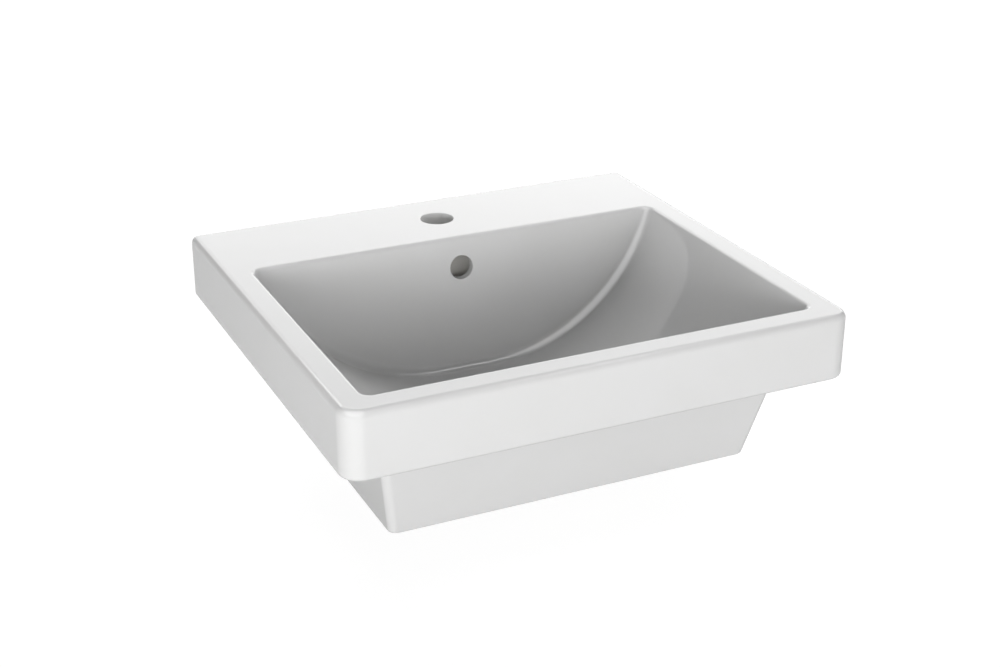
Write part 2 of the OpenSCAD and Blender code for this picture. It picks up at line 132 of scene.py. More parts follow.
def joinFaces(name, faces, tag=0):
    # one mesh object from faces given as lists of corners in millimetres; shared corners become one vertex
    index, points, loops = {}, [], []
    for face in faces:
        ids = []
        for p in face:
            key = tuple(round(c, joining["digits"]) for c in p)
            if key not in index:
                index[key] = len(points)
                points.append([c * mm for c in p])
            if index[key] not in ids:
                ids.append(index[key])
        if len(ids) > 2:
            loops.append(ids)
    mesh = bpy.data.meshes.new(name)
    mesh.from_pydata(points, [], loops)
    work = bmesh.new()
    work.from_mesh(mesh)
    bmesh.ops.remove_doubles(work, verts=work.verts, dist=joining["weld"] * mm)
    bmesh.ops.recalc_face_normals(work, faces=work.faces)
    if work.calc_volume(signed=True) < 0:
        bmesh.ops.reverse_faces(work, faces=work.faces)
    openEdges = sum(1 for e in work.edges if len(e.link_faces) != 2)
    for face in work.faces:
        face.material_index = tag
    work.to_mesh(mesh)
    work.free()
    obj = bpy.data.objects.new(name, mesh)
    scene.collection.objects.link(obj)
    if openEdges:
        print("  ", name, "has", openEdges, "open edges")
    return obj


def gridFaces(rows, closed=False):
    # quads between neighbouring rows of equal length; closed joins each row's end to its start
    faces = []
    for a, b in zip(rows, rows[1:]):
        count = len(a)
        for i in range(count if closed else count - 1):
            k = (i + 1) % count
            faces.append([a[i], a[k], b[k], b[i]])
    return faces


def stackRings(name, rings, tag=0):
    # closed solid through rings of points, capped at both ends
    faces = gridFaces(rings, closed=True)
    faces.append(list(rings[0]))
    faces.append(list(rings[-1]))
    return joinFaces(name, faces, tag)


def lathe(name, profile, centre, steps, tag=0):
    # closed profile of (radius, z) turned round a vertical axis; a point on the axis becomes one vertex
    rings = [[(centre[0] + r * cosd(360 * i / steps), centre[1] + r * sind(360 * i / steps), z)
              for i in range(steps)] for r, z in profile]
    return joinFaces(name, gridFaces(rings + [rings[0]], closed=True), tag)


def arc(centre, r, start, end, steps):
    # points (radius, z) on an arc about centre, angles in degrees
    return [(centre[0] + r * cosd(start + (end - start) * i / steps),
             centre[1] + r * sind(start + (end - start) * i / steps)) for i in range(steps + 1)]


def combine(base, other, operation):
    # exact boolean, with the other solid used up
    step = base.modifiers.new("step", "BOOLEAN")
    step.solver = "EXACT"
    step.operation = operation
    step.material_mode = "INDEX"
    step.object = other
    graph = bpy.context.evaluated_depsgraph_get()
    mesh = bpy.data.meshes.new_from_object(base.evaluated_get(graph))
    base.modifiers.clear()
    old = base.data
    base.data = mesh
    bpy.data.meshes.remove(old)
    bpy.data.objects.remove(other)
    return base


def finishMesh(obj, sharpAngle):
    # merges slivers, shades smooth and keeps edges sharp where the surface breaks or its finish changes
    work = bmesh.new()
    work.from_mesh(obj.data)
    bmesh.ops.remove_doubles(work, verts=work.verts, dist=joining["finalWeld"] * mm)
    bmesh.ops.dissolve_degenerate(work, edges=work.edges, dist=joining["finalWeld"] * mm)
    for face in work.faces:
        face.smooth = True
    openEdges = 0
    for edge in work.edges:
        linked = edge.link_faces
        openEdges += len(linked) != 2
        breaks = len(linked) == 2 and edge.calc_face_angle(0) > math.radians(sharpAngle)
        change = len(linked) == 2 and linked[0].material_index != linked[1].material_index
        edge.smooth = not (breaks or change)
    work.to_mesh(obj.data)
    work.free()
    obj.data.name = obj.name
    even = obj.modifiers.new("even", "WEIGHTED_NORMAL")
    even.keep_sharp = True
    print("  ", obj.name, len(obj.data.polygons), "faces,", openEdges, "open edges")


# Casting: rim, deck, bow-shaped bowl, tapered body, overflow duct and the waste's seat

casting = {
    "frontCornerR": 20.0,
    "backCornerR": 8.0,
    "leastCornerR": 0.3,
    "topEdgeR": 7.5,
    "bottomEdgeR": 3.5,
    "rimWall": 12.0,
    "deckT": 13.0,
    "hollowFrontR": 8.0,
    "hollowBackR": 4.0,
    "hollowSteps": 6,
    "cornerSteps": 14,
    "edgeSteps": 8,
    "sharp": 40,
}
bowl = {
    "bowR": 210.0,
    "depth": 140.0,
    "sideRim": 27.5,
    "frontRim": 27.5,
    "rearRim": 120.5,
    "rearLean": 7.5,
    "frontLean": 24.0,
    "blendR": 10.0,
    "lipR": 4.5,
    "wall": 11.0,
    "bowSteps": 64,
    "middleSteps": 10,
    "cornerSteps": 14,
    "lipSteps": 7,
    "searchSteps": 50,
    "clear": 8.0,
}
# rows of the floor stand a pitch apart between front and rear, and keep a gap to its blends
dish = {"flatR": 41.0, "outerR": 73.0, "fall": 1.0, "pitch": 4.0, "front": -132, "rear": 78, "gap": 0.5}
body = {
    "tuck": 15.0,
    "frontInset": 43.0,
    "frontInsetFoot": 69.5,
    "sideInset": 46.5,
    "sideInsetFoot": 64.5,
    "backSkin": 1.5,
    "cornerR": 8.0,
    "wall": 10.0,
    "hollowR": 3.5,
    "footEdge": 1.8,
    "footSteps": 5,
    "cornerSteps": 10,
}
duct = {
    "w": 44.0,
    "gap": 16.0,
    "wall": 7.0,
    "rearWall": 8.0,
    "head": 3.0,
    "passageH": 7.5,
    "innerR": 1.0,
    "cornerR": 10.0,
    "cornerSteps": 8,
    "edgeR": 6.0,
    "edgeSteps": 6,
}
tapHole = {"r": 17.5, "fromBack": 61.0, "edgeR": 0.7, "edgeSteps": 6, "chamfer": 1.0, "clear": 5.0,
           "through": 2.0, "steps": 96}
overflow = {"r": 12.5, "drop": 32.5, "edgeR": 0.7, "edgeSteps": 6, "clear": 8.0, "steps": 72}
seat = {"holeR": 23.0, "r": 33.5, "edgeR": 2.0, "edgeSteps": 6, "chamfer": 0.8, "clear": 4.0, "skin": 6.0,
        "bossR": 38.0, "steps": 120}

rimLow, rimHigh = nodeBox("basin")
wasteLow, wasteHigh = nodeBox("waste_body")
halfW = rimHigh[0]
halfD = rimHigh[1]
deckZ = rimHigh[2]
footZ = rimLow[2]
wasteY = (wasteLow[1] + wasteHigh[1]) / 2
floorZ = wasteHigh[2]
seatZ = nodeBox("flange_gasket")[0][2]
passageTop = seatZ - seat["skin"]
passageLow = passageTop - duct["passageH"]

bowZ = deckZ - bowl["depth"] + bowl["bowR"]
bowMid = halfW - bowl["sideRim"] - math.sqrt(bowl["bowR"] ** 2 - (bowZ - deckZ) ** 2)
rearWall = {"y": halfD - bowl["rearRim"], "lean": bowl["rearLean"], "sign": 1}
frontWall = {"y": -halfD + bowl["frontRim"], "lean": bowl["frontLean"], "sign": -1}
glazed, bare = 0, 1


def roundedPlan(x, yFront, yBack, frontR, backR, steps):
    # outline of a block seen from above, from its right rear corner anticlockwise
    corners = ((x - backR, yBack - backR, backR, 0), (-x + backR, yBack - backR, backR, 90),
               (-x + frontR, yFront + frontR, frontR, 180), (x - frontR, yFront + frontR, frontR, 270))
    return [(cx + r * cosd(a + 90 * i / steps), cy + r * sind(a + 90 * i / steps))
            for cx, cy, r, a in corners for i in range(steps + 1)]


def rimRing(inset, z):
    shrink = min(inset, casting["backCornerR"] - casting["leastCornerR"])
    plan = roundedPlan(halfW - inset, -halfD + inset, halfD - inset, casting["frontCornerR"] - inset,
                       casting["backCornerR"] - shrink, casting["cornerSteps"])
    return [(x, y, z) for x, y in plan]


def rimBlock():
    low, top, n = casting["bottomEdgeR"], casting["topEdgeR"], casting["edgeSteps"]
    profile = [(low * (1 - sind(90 * i / n)), low * (1 - cosd(90 * i / n))) for i in range(n + 1)]
    profile += [(top * (1 - cosd(90 * i / n)), deckZ - top * (1 - sind(90 * i / n))) for i in range(n + 1)]
    return stackRings("rimBlock", [rimRing(inset, z) for inset, z in profile], glazed)


def rimHollow():
    wall = casting["rimWall"]
    plan = roundedPlan(halfW - wall, -halfD + wall, halfD - wall, casting["hollowFrontR"],
                       casting["hollowBackR"], casting["hollowSteps"])
    rings = [[(x, y, z) for x, y in plan] for z in (-past, deckZ - casting["deckT"])]
    return stackRings("rimHollow", rings, bare)


def endWallY(wall, z):
    return wall["y"] - wall["sign"] * tand(wall["lean"]) * (deckZ - z)


def endWallNormal(wall):
    return Vector((0, wall["sign"] * cosd(wall["lean"]), -sind(wall["lean"])))


def blendPoint(wall, a, share, reach):
    # place at this reach from the blend ball's centre, and its direction; a is the bow's angle below level
    drop = bowl["bowR"] - bowl["blendR"]
    x, z = bowMid + drop * cosd(a), bowZ - drop * sind(a)
    y = endWallY(wall, z) - wall["sign"] * bowl["blendR"] / cosd(wall["lean"])
    out = endWallNormal(wall).slerp(Vector((cosd(a), 0, -sind(a))), share)
    return Vector((x, y, z)) + out * reach, out


def angleAt(wall, share, reach, z):
    # bow angle at which a point of the blend lies at this height
    low, high = 0.0, 90.0
    for _ in range(bowl["searchSteps"]):
        middle = (low + high) / 2
        if blendPoint(wall, middle, share, reach)[0].z > z:
            low = middle
        else:
            high = middle
    return (low + high) / 2


def blendColumn(wall, share, reach, topReach, topZ):
    # line down the bowl's right side, across its floor and up its left side, at one share of the blend
    first = angleAt(wall, share, topReach, topZ)
    n, m = bowl["bowSteps"], bowl["middleSteps"]
    right = [blendPoint(wall, first + (90 - first) * i / n, share, reach)[0] for i in range(n + 1)]
    end = right[-1]
    middle = [Vector((end.x * (1 - 2 * i / m), end.y, end.z)) for i in range(1, m)]
    left = [Vector((-p.x, p.y, p.z)) for p in reversed(right)]
    return right + middle + left, first


def dishDrop(x, y):
    t = (dish["outerR"] - math.hypot(x, y - wasteY)) / (dish["outerR"] - dish["flatR"])
    t = min(max(t, 0), 1)
    return dish["fall"] * t * t * (3 - 2 * t)


def bowRow(rear, front, fall):
    # straight line of the bow's surface from the rear blend to the front one
    pitch, gap = dish["pitch"], dish["gap"]
    first, last = math.ceil((front.y + gap) / pitch), math.floor((rear.y - gap) / pitch)
    ys = [k * pitch for k in range(last, first - 1, -1) if dish["front"] < k * pitch < dish["rear"]]
    inner = [(rear.x, y, rear.z - (dishDrop(rear.x, y) if fall else 0)) for y in ys]
    return [tuple(rear)] + inner + [tuple(front)]


def bowlSolid(name, off, topZ, tag):
    # the bowl's space with its walls moved out by off; at 0 it has the rounded lip and passes the deck
    lip = bowl["lipR"] if off == 0 else 0
    reach, topReach = bowl["blendR"] + off, bowl["blendR"] + off + lip
    startZ = topZ - lip
    n = bowl["cornerSteps"]
    faces, columns, tops, starts = [], {}, {}, {}
    for key, wall in (("rear", rearWall), ("front", frontWall)):
        made = [blendColumn(wall, j / n, reach, topReach, startZ) for j in range(n + 1)]
        columns[key] = [c for c, _ in made]
        starts[key] = [a for _, a in made]
        faces += gridFaces(columns[key])
        contact = columns[key][0]
        topPointZ = contact[0].z
        tops[key] = [Vector((p.x, endWallY(wall, topPointZ) + wall["sign"] * off / cosd(wall["lean"]),
                             topPointZ)) for p in contact]
        faces += gridFaces([contact, tops[key]])
    rows = [bowRow(r, f, off == 0) for r, f in zip(columns["rear"][n], columns["front"][n])]
    faces += gridFaces(rows)
    # ring of the lip: each entry is a point of the wall's top and the direction out of the bowl there
    ring = []
    sideOut = Vector((cosd(starts["rear"][n]), 0, -sind(starts["rear"][n])))

    def corner(key, wall, order, side):
        for j in order:
            out = blendPoint(wall, starts[key][j], j / n, reach)[1]
            p = columns[key][j][0]
            ring.append((Vector((side * p.x, p.y, p.z)), Vector((side * out.x, out.y, out.z))))

    corner("rear", rearWall, range(n, -1, -1), 1)
    ring.extend((p, endWallNormal(rearWall)) for p in tops["rear"][1:-1])
    corner("rear", rearWall, range(0, n + 1), -1)
    ring.extend((Vector((-p[0], p[1], p[2])), Vector((-sideOut.x, 0, sideOut.z))) for p in rows[0][1:-1])
    corner("front", frontWall, range(n, -1, -1), -1)
    ring.extend((p, endWallNormal(frontWall)) for p in reversed(tops["front"][1:-1]))
    corner("front", frontWall, range(0, n + 1), 1)
    ring.extend((Vector(p), sideOut) for p in reversed(rows[0][1:-1]))
    layers = [[p for p, _ in ring]]
    if lip:
        for k in range(1, bowl["lipSteps"] + 1):
            layers.append([p + out * lip + (-out).slerp(Vector((0, 0, 1)), k / bowl["lipSteps"]) * lip
                           for p, out in ring])
        layers.append([Vector((p.x, p.y, topZ + bowl["clear"])) for p in layers[-1]])
    faces += gridFaces(layers, closed=True)
    faces.append(list(layers[-1]))
    return joinFaces(name, faces, tag)


def bodyPlan(z, inset, cornerR):
    share = z / footZ
    x = halfW - body["sideInset"] + (body["sideInset"] - body["sideInsetFoot"]) * share - inset
    front = -halfD + body["frontInset"] + (body["frontInsetFoot"] - body["frontInset"]) * share + inset
    back = endWallY(rearWall, z) + (bowl["wall"] + body["backSkin"]) / cosd(bowl["rearLean"]) - inset
    return [(px, py, z) for px, py in roundedPlan(x, front, back, cornerR, cornerR, body["cornerSteps"])]


def bodyBlock():
    edge, n = body["footEdge"], body["footSteps"]
    profile = [(body["tuck"], 0)]
    profile += [(footZ + edge * (1 - sind(90 * i / n)), edge * (1 - cosd(90 * i / n)))
                for i in range(n + 1)]
    return stackRings("bodyBlock", [bodyPlan(z, inset, body["cornerR"]) for z, inset in profile], glazed)


def bodyHollow():
    rings = [bodyPlan(z, body["wall"], body["hollowR"]) for z in (body["tuck"] + past, footZ - past)]
    return stackRings("bodyHollow", rings, bare)


def ductSolid(name, w, near, far, topZ, turnZ, lowZ, tag):
    # down behind the rear wall and forward under the floor to the waste
    def behind(z, off):
        return endWallY(rearWall, z) + off / cosd(bowl["rearLean"])

    outline = [(behind(topZ, near), topZ), (behind(topZ, far), topZ), (behind(lowZ, far), lowZ),
               (wasteY, lowZ), (wasteY, turnZ), (behind(turnZ, near), turnZ)]
    rings = [[(x, y, z) for y, z in outline] for x in (-w / 2, w / 2)]
    return stackRings(name, rings, tag)


def roundDuct(shell, backY):
    # rounds the edges that meet in the shell's two lowest rear corners
    work = bmesh.new()
    work.from_mesh(shell.data)
    corners = {v for v in work.verts
               if v.co.y > (backY - joining["near"]) * mm and v.co.z < (footZ + joining["near"]) * mm}
    edges = [edge for edge in work.edges if corners.intersection(edge.verts)]
    bmesh.ops.bevel(work, geom=edges, offset=duct["edgeR"] * mm, segments=duct["edgeSteps"], profile=0.5,
                    affect="EDGES", material=-1)
    work.to_mesh(shell.data)
    work.free()


def ductOutside():
    far = duct["rearWall"] + duct["gap"] + duct["wall"]
    w = duct["w"] + 2 * duct["wall"]
    top, roof = deckZ - casting["deckT"] / 2, seatZ + past
    shell = ductSolid("ductOutside", w, bowl["wall"] / 2, far, top, roof, footZ, bare)
    roundDuct(shell, endWallY(rearWall, footZ) + far / cosd(bowl["rearLean"]))
    back = endWallY(rearWall, deckZ) + far / cosd(bowl["rearLean"])
    plan = roundedPlan(w / 2, wasteY - past, back, duct["innerR"], duct["cornerR"], duct["cornerSteps"])
    post = stackRings("post", [[(x, y, z) for x, y in plan] for z in (footZ - past, deckZ)], bare)
    combine(shell, post, "INTERSECT")
    boss = lathe("boss", [(0, footZ), (seat["bossR"], footZ), (seat["bossR"], roof), (0, roof)],
                 (0, wasteY), seat["steps"], bare)
    return combine(shell, boss, "UNION")


def ductHollow():
    top = deckZ - casting["deckT"] - duct["head"]
    return ductSolid("ductHollow", duct["w"], duct["rearWall"], duct["rearWall"] + duct["gap"], top,
                     passageTop, passageLow, bare)


def tapCutter():
    r, edge, chamfer = tapHole["r"], tapHole["edgeR"], tapHole["chamfer"]
    top, low = deckZ + tapHole["clear"], deckZ - casting["deckT"]
    profile = [(0, top), (r + edge, top)]
    profile += arc((r + edge, deckZ - edge), edge, 90, 180, tapHole["edgeSteps"])
    profile += [(r, low + chamfer), (r + chamfer, low), (r + chamfer, low - tapHole["through"]),
                (0, low - tapHole["through"])]
    return lathe("tapCutter", profile, (0, halfD - tapHole["fromBack"]), tapHole["steps"], glazed)


def overflowCutter():
    # level bore through the leaning rear wall, its edge rounded where it meets the wall
    r, edge, steps, turns = overflow["r"], overflow["edgeR"], overflow["steps"], overflow["edgeSteps"]
    z0 = deckZ - overflow["drop"]
    y0 = endWallY(rearWall, z0)
    depth = y0 + (duct["rearWall"] + duct["gap"] / 2) / cosd(bowl["rearLean"])
    sections = []
    for i in range(steps):
        t = 360 * i / steps
        slope = tand(bowl["rearLean"]) * sind(t)
        length = math.hypot(1, slope)
        centre = y0 + slope * (r + edge) + edge * length
        start = math.degrees(math.atan2(-1, slope))
        section = [(r + edge + edge * slope / length, y0 - overflow["clear"])]
        for k in range(turns + 1):
            a = start + (-180 - start) * k / turns
            section.append((r + edge + edge * cosd(a), centre + edge * sind(a)))
        section.append((r, depth))
        sections.append([(q * cosd(t), y, z0 + q * sind(t)) for q, y in section])
    return stackRings("overflowCutter", list(zip(*sections)), glazed)


def wasteCutter():
    r, edge, holeR, chamfer = seat["r"], seat["edgeR"], seat["holeR"], seat["chamfer"]
    top, low = floorZ + seat["clear"], footZ - past
    profile = [(0, top), (r + edge, top)] + arc((r + edge, floorZ - edge), edge, 90, 180, seat["edgeSteps"])
    profile += [(r, seatZ), (holeR + chamfer, seatZ), (holeR, seatZ - chamfer), (holeR, low), (0, low)]
    return lathe("wasteCutter", profile, (0, wasteY), seat["steps"], glazed)


def makeCasting():
    solid = combine(rimBlock(), rimHollow(), "DIFFERENCE")
    solid.name = "basinCasting"
    combine(solid, combine(bodyBlock(), bodyHollow(), "DIFFERENCE"), "UNION")
    outside = bowlSolid("bowlOutside", bowl["wall"], deckZ - casting["deckT"] / 2, bare)
    combine(solid, outside, "UNION")
    combine(solid, ductOutside(), "UNION")
    for cutter in (bowlSolid("bowlSpace", 0, deckZ, glazed), ductHollow(), tapCutter(), overflowCutter(),
                   wasteCutter()):
        combine(solid, cutter, "DIFFERENCE")
    return solid


# Waste: flange with its dish, threaded tube with overflow windows, and the spider inside

waste = {
    "boreR": 17.5,
    "boreChamfer": 0.5,
    "threadR": 20.955,
    "flangeR": 32.0,
    "flangeT": 3.5,
    "dishR": 27.0,
    "dishDepth": 2.4,
    "throat": ((0, -0.6), (0.25, -0.12), (0.9, 0.12)),      # out and up from the bore at the dish's bottom
    "dishLip": ((-0.8, -0.22), (-0.1, -0.04), (0.7, 0)),    # out and up from the dish's edge
    "edgeR": 0.9,
    "edgeSteps": 6,
    "underChamfer": 0.3,
    "fillet": 0.6,
    "tailChamfer": (0.8, 1.0),
    "windowW": 14.0,
    "windowR": 2.0,
    "windowSteps": 5,
    "windowReach": 2.0,
    "hubR": 8.0,
    "hubH": 8.0,
    "hubChamfer": 0.6,
    "hubSteps": 72,
    "studR": 5.05,
    "armAngles": (90, 210, 330),
    "armW": 3.0,
    "armTaper": 0.4,
    "armStart": 3.0,
    "armBite": 0.6,
    "steps": 144,
    "sharp": 32,
}
barrelLow = nodeBox("cartridge_locknut")[1][2] + waste["hubH"]
nutLow = nodeBox("back_nut")[0][2]
thread = {
    "pitch": 2.309,
    "depth": 1.48,
    "overlap": 0.15,
    "rootShare": 0.94,
    "crestShare": 0.2,
    "topGap": 2.5,
    "startGap": 1.0,
    "relief": 2.0,
    "halfRidge": 1.2,
    "endGap": 1.2,
    "turnSteps": 72,
}


def threadTree():
    # helical ridge: a spiral swept with a pointed profile
    tree = bpy.data.node_groups.new("threadRidge", "GeometryNodeTree")
    kinds = {"Turns": "Float", "Height": "Float", "Radius": "Float", "Root width": "Float",
             "Crest width": "Float", "Ridge height": "Float", "Steps": "Int", "Place": "Vector",
             "Finish": "Material"}
    for label, kind in kinds.items():
        tree.interface.new_socket(name=label, in_out="INPUT", socket_type="NodeSocket" + kind)
    tree.interface.new_socket(name="Mesh", in_out="OUTPUT", socket_type="NodeSocketGeometry")
    nodes, links = tree.nodes, tree.links
    given = nodes.new("NodeGroupInput").outputs
    spiral = nodes.new("GeometryNodeCurveSpiral")
    for label, socket in (("Steps", "Resolution"), ("Turns", "Rotations"), ("Radius", "Start Radius"),
                          ("Radius", "End Radius"), ("Height", "Height")):
        links.new(given[label], spiral.inputs[socket])
    upright = nodes.new("GeometryNodeSetCurveNormal")
    upright.mode = "Z_UP"
    links.new(spiral.outputs["Curve"], upright.inputs["Curve"])
    profile = nodes.new("GeometryNodeCurvePrimitiveQuadrilateral")
    profile.mode = "TRAPEZOID"
    profile.inputs["Offset"].default_value = 0
    links.new(given["Root width"], profile.inputs["Bottom Width"])
    links.new(given["Crest width"], profile.inputs["Top Width"])
    links.new(given["Ridge height"], profile.inputs["Height"])
    turned = nodes.new("GeometryNodeTransform")
    turned.inputs["Rotation"].default_value = (0, 0, math.radians(90))   # the crest points outwards
    links.new(profile.outputs["Curve"], turned.inputs["Geometry"])
    sweep = nodes.new("GeometryNodeCurveToMesh")
    sweep.inputs["Fill Caps"].default_value = True
    links.new(upright.outputs["Curve"], sweep.inputs["Curve"])
    links.new(turned.outputs["Geometry"], sweep.inputs["Profile Curve"])
    placed = nodes.new("GeometryNodeTransform")
    links.new(sweep.outputs["Mesh"], placed.inputs["Geometry"])
    links.new(given["Place"], placed.inputs["Translation"])
    whole = nodes.new("GeometryNodeRealizeInstances")
    links.new(placed.outputs["Geometry"], whole.inputs["Geometry"])
    painted = nodes.new("GeometryNodeSetMaterial")
    links.new(whole.outputs["Geometry"], painted.inputs["Geometry"])
    links.new(given["Finish"], painted.inputs["Material"])
    links.new(painted.outputs["Geometry"], nodes.new("NodeGroupOutput").inputs["Mesh"])
    return tree


def threadRidge(tree, topZ, lowZ, finish):
    # one stretch of thread between two heights, as a plain mesh
    turns = (topZ - lowZ) / thread["pitch"]
    height = thread["depth"] + thread["overlap"]
    settings = {
        "Turns": turns,
        "Height": (topZ - lowZ) * mm,
        "Radius": (waste["threadR"] - height / 2) * mm,
        "Root width": thread["pitch"] * thread["rootShare"] * mm,
        "Crest width": thread["pitch"] * thread["crestShare"] * mm,
        "Ridge height": height * mm,
        "Steps": thread["turnSteps"],
        "Place": (0, wasteY * mm, lowZ * mm),
        "Finish": finish,
    }
    obj = bpy.data.objects.new("ridge", bpy.data.meshes.new("ridge"))
    scene.collection.objects.link(obj)
    made = obj.modifiers.new("thread", "NODES")
    made.node_group = tree
    for item in tree.interface.items_tree:
        if item.in_out == "INPUT":
            made[item.identifier] = settings[item.name]
    mesh = bpy.data.meshes.new_from_object(obj.evaluated_get(bpy.context.evaluated_depsgraph_get()))
    obj.modifiers.clear()
    obj.data = mesh
    return obj


def windowBar(alongX):
    # level bar with rounded edges through the waste's axis; it cuts two of the four windows
    reach = waste["threadR"] + waste["windowReach"]
    outline = roundedPlan(waste["windowW"] / 2, passageLow, passageLow + duct["passageH"], waste["windowR"],
                          waste["windowR"], waste["windowSteps"])
    rings = [[(x, wasteY + a, b) if alongX else (a, wasteY + x, b) for a, b in outline]
             for x in (-reach, reach)]
    return stackRings("window", rings)


def spiderArm(angle):
    # arm from the hub to the bore, thinner at its foot
    low = barrelLow - waste["hubH"] + waste["hubChamfer"]
    top, foot = waste["armW"] / 2, waste["armW"] / 2 - waste["armTaper"]
    corners = ((-foot, low), (foot, low), (top, barrelLow), (-top, barrelLow))
    c, s = cosd(angle), sind(angle)
    rings = [[(along * c - side * s, wasteY + along * s + side * c, z) for side, z in corners]
             for along in (waste["armStart"], waste["boreR"] + waste["armBite"])]
    return stackRings("arm", rings)


def makeSpider():
    # hub that holds the cartridge's stud, on three arms
    low, r, studR, chamfer = barrelLow - waste["hubH"], waste["hubR"], waste["studR"], waste["hubChamfer"]
    profile = [(studR, low), (r - chamfer, low), (r, low + chamfer), (r, barrelLow), (studR, barrelLow)]
    spider = lathe("hub", profile, (0, wasteY), waste["hubSteps"])
    for angle in waste["armAngles"]:
        combine(spider, spiderArm(angle), "UNION")
    hole = [(0, low - past), (studR, low - past), (studR, barrelLow + past), (0, barrelLow + past)]
    return combine(spider, lathe("studHole", hole, (0, wasteY), waste["hubSteps"]), "DIFFERENCE")


def makeWaste(finish):
    bore, r, flangeR = waste["boreR"], waste["threadR"], waste["flangeR"]
    root = r - thread["depth"]
    under = floorZ - waste["flangeT"]
    threadTop = passageLow - thread["topGap"]
    end = wasteLow[2]
    edge, fillet, half = waste["edgeR"], waste["fillet"], thread["halfRidge"]
    underChamfer, boreChamfer = waste["underChamfer"], waste["boreChamfer"]
    tailIn, tailUp = waste["tailChamfer"]
    profile = [(bore + out, floorZ - waste["dishDepth"] + up) for out, up in waste["throat"]]
    profile += [(waste["dishR"] + out, floorZ + up) for out, up in waste["dishLip"]]
    profile += arc((flangeR - edge, floorZ - edge), edge, 90, 0, waste["edgeSteps"])
    profile += [(flangeR, under + underChamfer), (flangeR - underChamfer, under), (r + fillet, under),
                (r, under - fillet), (r, threadTop + thread["depth"]), (root, threadTop),
                (root, end + tailUp), (root - tailIn, end), (bore + boreChamfer, end),
                (bore, end + boreChamfer)]
    tube = lathe("wasteBody", profile, (0, wasteY), waste["steps"])
    for alongX in (True, False):
        combine(tube, windowBar(alongX), "DIFFERENCE")
    combine(tube, makeSpider(), "UNION")
    tree = threadTree()
    for top, bottom in ((threadTop - thread["startGap"], nutLow + half),
                        (nutLow - thread["relief"] - half, end + thread["endGap"] + half)):
        combine(tube, threadRidge(tree, top, bottom, finish), "UNION")
    tube.data.materials.clear()
    return tube


# Plug: domed cap with a turned-down rim

plug = {
    "lip": 1.5,
    "rimT": 1.1,
    "edgeR": 0.35,
    "edgeSteps": 4,
    "softR": 0.6,
    "softSteps": 5,
    "shoulder": 0.9,      # drop of the soft edge's centre below the dome, as a share of its radius
    "domeSteps": 24,
    "steps": 144,
    "sharp": 50,
}


def makePlugCap():
    low, high = nodeBox("plug_cap")
    r, inside = high[0], high[0] - plug["lip"]
    under = nodeBox("plug_gasket")[1][2]
    domeH = high[2] - low[2] - plug["rimT"]
    domeR = (r ** 2 + domeH ** 2) / (2 * domeH)
    edge, soft = plug["edgeR"], plug["softR"]
    profile = [(0, under), (inside, under), (inside, low[2] + edge)]
    profile += arc((inside + edge, low[2] + edge), edge, 180, 270, plug["edgeSteps"])
    profile += arc((r - edge, low[2] + edge), edge, 270, 360, plug["edgeSteps"])
    spread = math.degrees(math.asin((r - soft) / domeR))
    angles = [spread * (1 - i / plug["domeSteps"]) for i in range(plug["domeSteps"] + 1)]
    dome = [(domeR * sind(a), high[2] - domeR * (1 - cosd(a))) for a in angles]
    shoulder = dome[0][1] - soft * plug["shoulder"]
    profile += arc((r - soft, shoulder), soft, 0, 90 - spread, plug["softSteps"])[:-1]
    return lathe("plugCap", profile + dome, (0, wasteY), plug["steps"])


# Finishes

wasteAxis = (0, wasteY, 0)
waveTexture = {"period": 0.314, "distortion": 0.4, "detail": 2}     # period at scale 1, in metres
glaze = {"tone": 0.64, "thinShare": (0.985, 0.985, 0.98), "smooth": 0.025, "dull": 0.045}
plastic = {"darkShare": 0.93, "glossier": 0.05, "duller": 0.07}


def grey(tone):
    return (tone, tone, tone)


def shaded(colour, shares):
    return tuple(c * share for c, share in zip(colour, shares))


def plasticLook(name, colour, roughness, grain, depth):
    # moulded plastic: soft sheen, faint flow marks, fine grain
    return {
        "name": name, "colour": colour, "roughness": roughness,
        "patterns": {
            "flow": {"size": 7, "detail": 3, "stretch": (1, 1, 0.3)},
            "haze": {"size": 3, "detail": 3},
            "grain": {"size": grain, "detail": 2},
        },
        "tint": ("flow", ((0.3, shaded(colour, grey(plastic["darkShare"]))), (0.7, colour))),
        "gloss": ("haze", ((0.3, roughness - plastic["glossier"]), (0.7, roughness + plastic["duller"]))),
        "relief": (("grain", depth),),
        "sockets": {"Subsurface Weight": 0.08, "Subsurface Scale": 0.002},
    }


